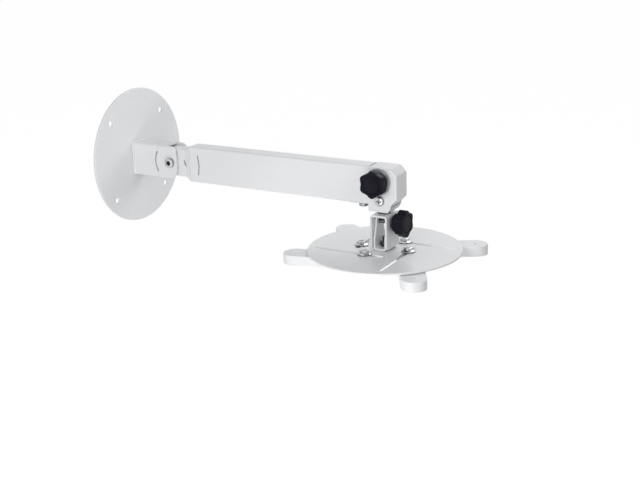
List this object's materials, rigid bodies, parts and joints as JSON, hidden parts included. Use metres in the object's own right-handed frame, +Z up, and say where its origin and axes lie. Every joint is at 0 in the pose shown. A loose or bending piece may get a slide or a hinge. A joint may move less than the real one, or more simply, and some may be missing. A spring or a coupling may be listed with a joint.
{
  "type": "projector wall mount",
  "caption": "White steel projector wall mount: round wall plate, telescopic arm, tilting head with clamp knobs, and a slotted disc with adjustable arms.",
  "frame": {"origin": "centre of the wall plate's back face, on the wall", "axes": "+X out of the wall along the arm, +Z up, +Y to the right as seen when facing the wall"},
  "size_m": [0.5051, 0.2, 0.1985],
  "materials": {
    "powder_white": "glossy white powder coat",
    "black_plastic": "moulded black nylon",
    "bright_zinc": "bright zinc plate",
    "dark_steel": "dark oiled steel",
    "nylon": "natural nylon"
  },
  "bodies": {
    "wall": {"wall_plate": "powder_white", "wall_bracket": "powder_white", "pivot_bolt": "bright_zinc", "pivot_nut": "bright_zinc", "pivot_washer_front": "nylon", "pivot_washer_rear": "nylon"},
    "arm": {"arm_neck": "powder_white", "pivot_sleeve": "bright_zinc", "tube_collar": "powder_white", "outer_tube": "powder_white", "lock_pad": "powder_white", "lock_screw": "bright_zinc"},
    "extension": {"inner_tube": "powder_white"},
    "head": {"head_bracket": "powder_white", "friction_washer_front": "nylon", "friction_washer_rear": "nylon", "tilt_nut": "bright_zinc", "tilt_knob_washer": "bright_zinc", "cross_bolt": "bright_zinc", "cross_nut": "bright_zinc", "yoke_spacer": "dark_steel", "yoke_rivet": "bright_zinc", "roll_yoke": "powder_white", "roll_knob_washer": "bright_zinc", "roll_nut": "bright_zinc"},
    "tilt_clamp": {"tilt_knob": "black_plastic", "tilt_stud": "bright_zinc"},
    "roll_clamp": {"roll_knob": "black_plastic", "roll_stud": "bright_zinc"},
    "cradle": {"roll_cradle": "powder_white", "swivel_bolt": "dark_steel", "swivel_washer": "dark_steel", "swivel_nut": "dark_steel"},
    "disc": {"spider_plate": "powder_white"},
    "slider_left": {"arm_bolt_left": "bright_zinc", "flange_nut_left": "bright_zinc"},
    "slider_front": {"arm_bolt_front": "bright_zinc", "flange_nut_front": "bright_zinc"},
    "slider_right": {"arm_bolt_right": "bright_zinc", "flange_nut_right": "bright_zinc"},
    "slider_rear": {"arm_bolt_rear": "bright_zinc", "flange_nut_rear": "bright_zinc"},
    "swing_left": {"arm_left": "powder_white"},
    "swing_front": {"arm_front": "powder_white"},
    "swing_right": {"arm_right": "powder_white"},
    "swing_rear": {"arm_rear": "powder_white"}
  },
  "joints": [
    {"name": "arm_pitch", "type": "hinge", "parent": "wall", "child": "arm", "pos_m": [0.069, 0, -0.0025], "axis": [0, 1, 0], "range_deg": [-10, 15]},
    {"name": "arm_extend", "type": "slide", "parent": "arm", "child": "extension", "axis": [1, 0, 0], "range_m": [0, 0.18]},
    {"name": "head_tilt", "type": "hinge", "parent": "extension", "child": "head", "pos_m": [0.3955, 0, 0.0045], "axis": [0, 1, 0], "range_deg": [-4, 15]},
    {"name": "head_roll", "type": "hinge", "parent": "head", "child": "cradle", "pos_m": [0.3955, 0, -0.051], "axis": [1, 0, 0], "range_deg": [-10, 10]},
    {"name": "disc_swivel", "type": "hinge", "parent": "cradle", "child": "disc", "pos_m": [0.3955, 0, -0.0872], "axis": [0, 0, 1], "continuous": true},
    {"name": "tilt_knob_turn", "type": "hinge", "parent": "head", "child": "tilt_clamp", "pos_m": [0.3955, 0, 0.0045], "axis": [0, 1, 0], "continuous": true},
    {"name": "roll_knob_turn", "type": "hinge", "parent": "head", "child": "roll_clamp", "pos_m": [0.3955, 0, -0.051], "axis": [1, 0, 0], "continuous": true},
    {"name": "slide_left", "type": "slide", "parent": "disc", "child": "slider_left", "axis": [-1, 0, 0], "range_m": [-0.012, 0.06]},
    {"name": "slide_front", "type": "slide", "parent": "disc", "child": "slider_front", "axis": [0, -1, 0], "range_m": [0, 0.072]},
    {"name": "slide_right", "type": "slide", "parent": "disc", "child": "slider_right", "axis": [1, 0, 0], "range_m": [-0.012, 0.06]},
    {"name": "slide_rear", "type": "slide", "parent": "disc", "child": "slider_rear", "axis": [0, 1, 0], "range_m": [0, 0.072]},
    {"name": "swing_arm_left", "type": "hinge", "parent": "slider_left", "child": "swing_left", "pos_m": [0.3835, -0.0335, -0.0905], "axis": [0, 0, 1], "range_deg": [-15, 15]},
    {"name": "swing_arm_front", "type": "hinge", "parent": "slider_front", "child": "swing_front", "pos_m": [0.429, 0, -0.0905], "axis": [0, 0, 1], "range_deg": [-15, 15]},
    {"name": "swing_arm_right", "type": "hinge", "parent": "slider_right", "child": "swing_right", "pos_m": [0.4075, 0.0335, -0.0905], "axis": [0, 0, 1], "range_deg": [-15, 15]},
    {"name": "swing_arm_rear", "type": "hinge", "parent": "slider_rear", "child": "swing_rear", "pos_m": [0.362, 0, -0.0905], "axis": [0, 0, 1], "range_deg": [-15, 15]}
  ]
}
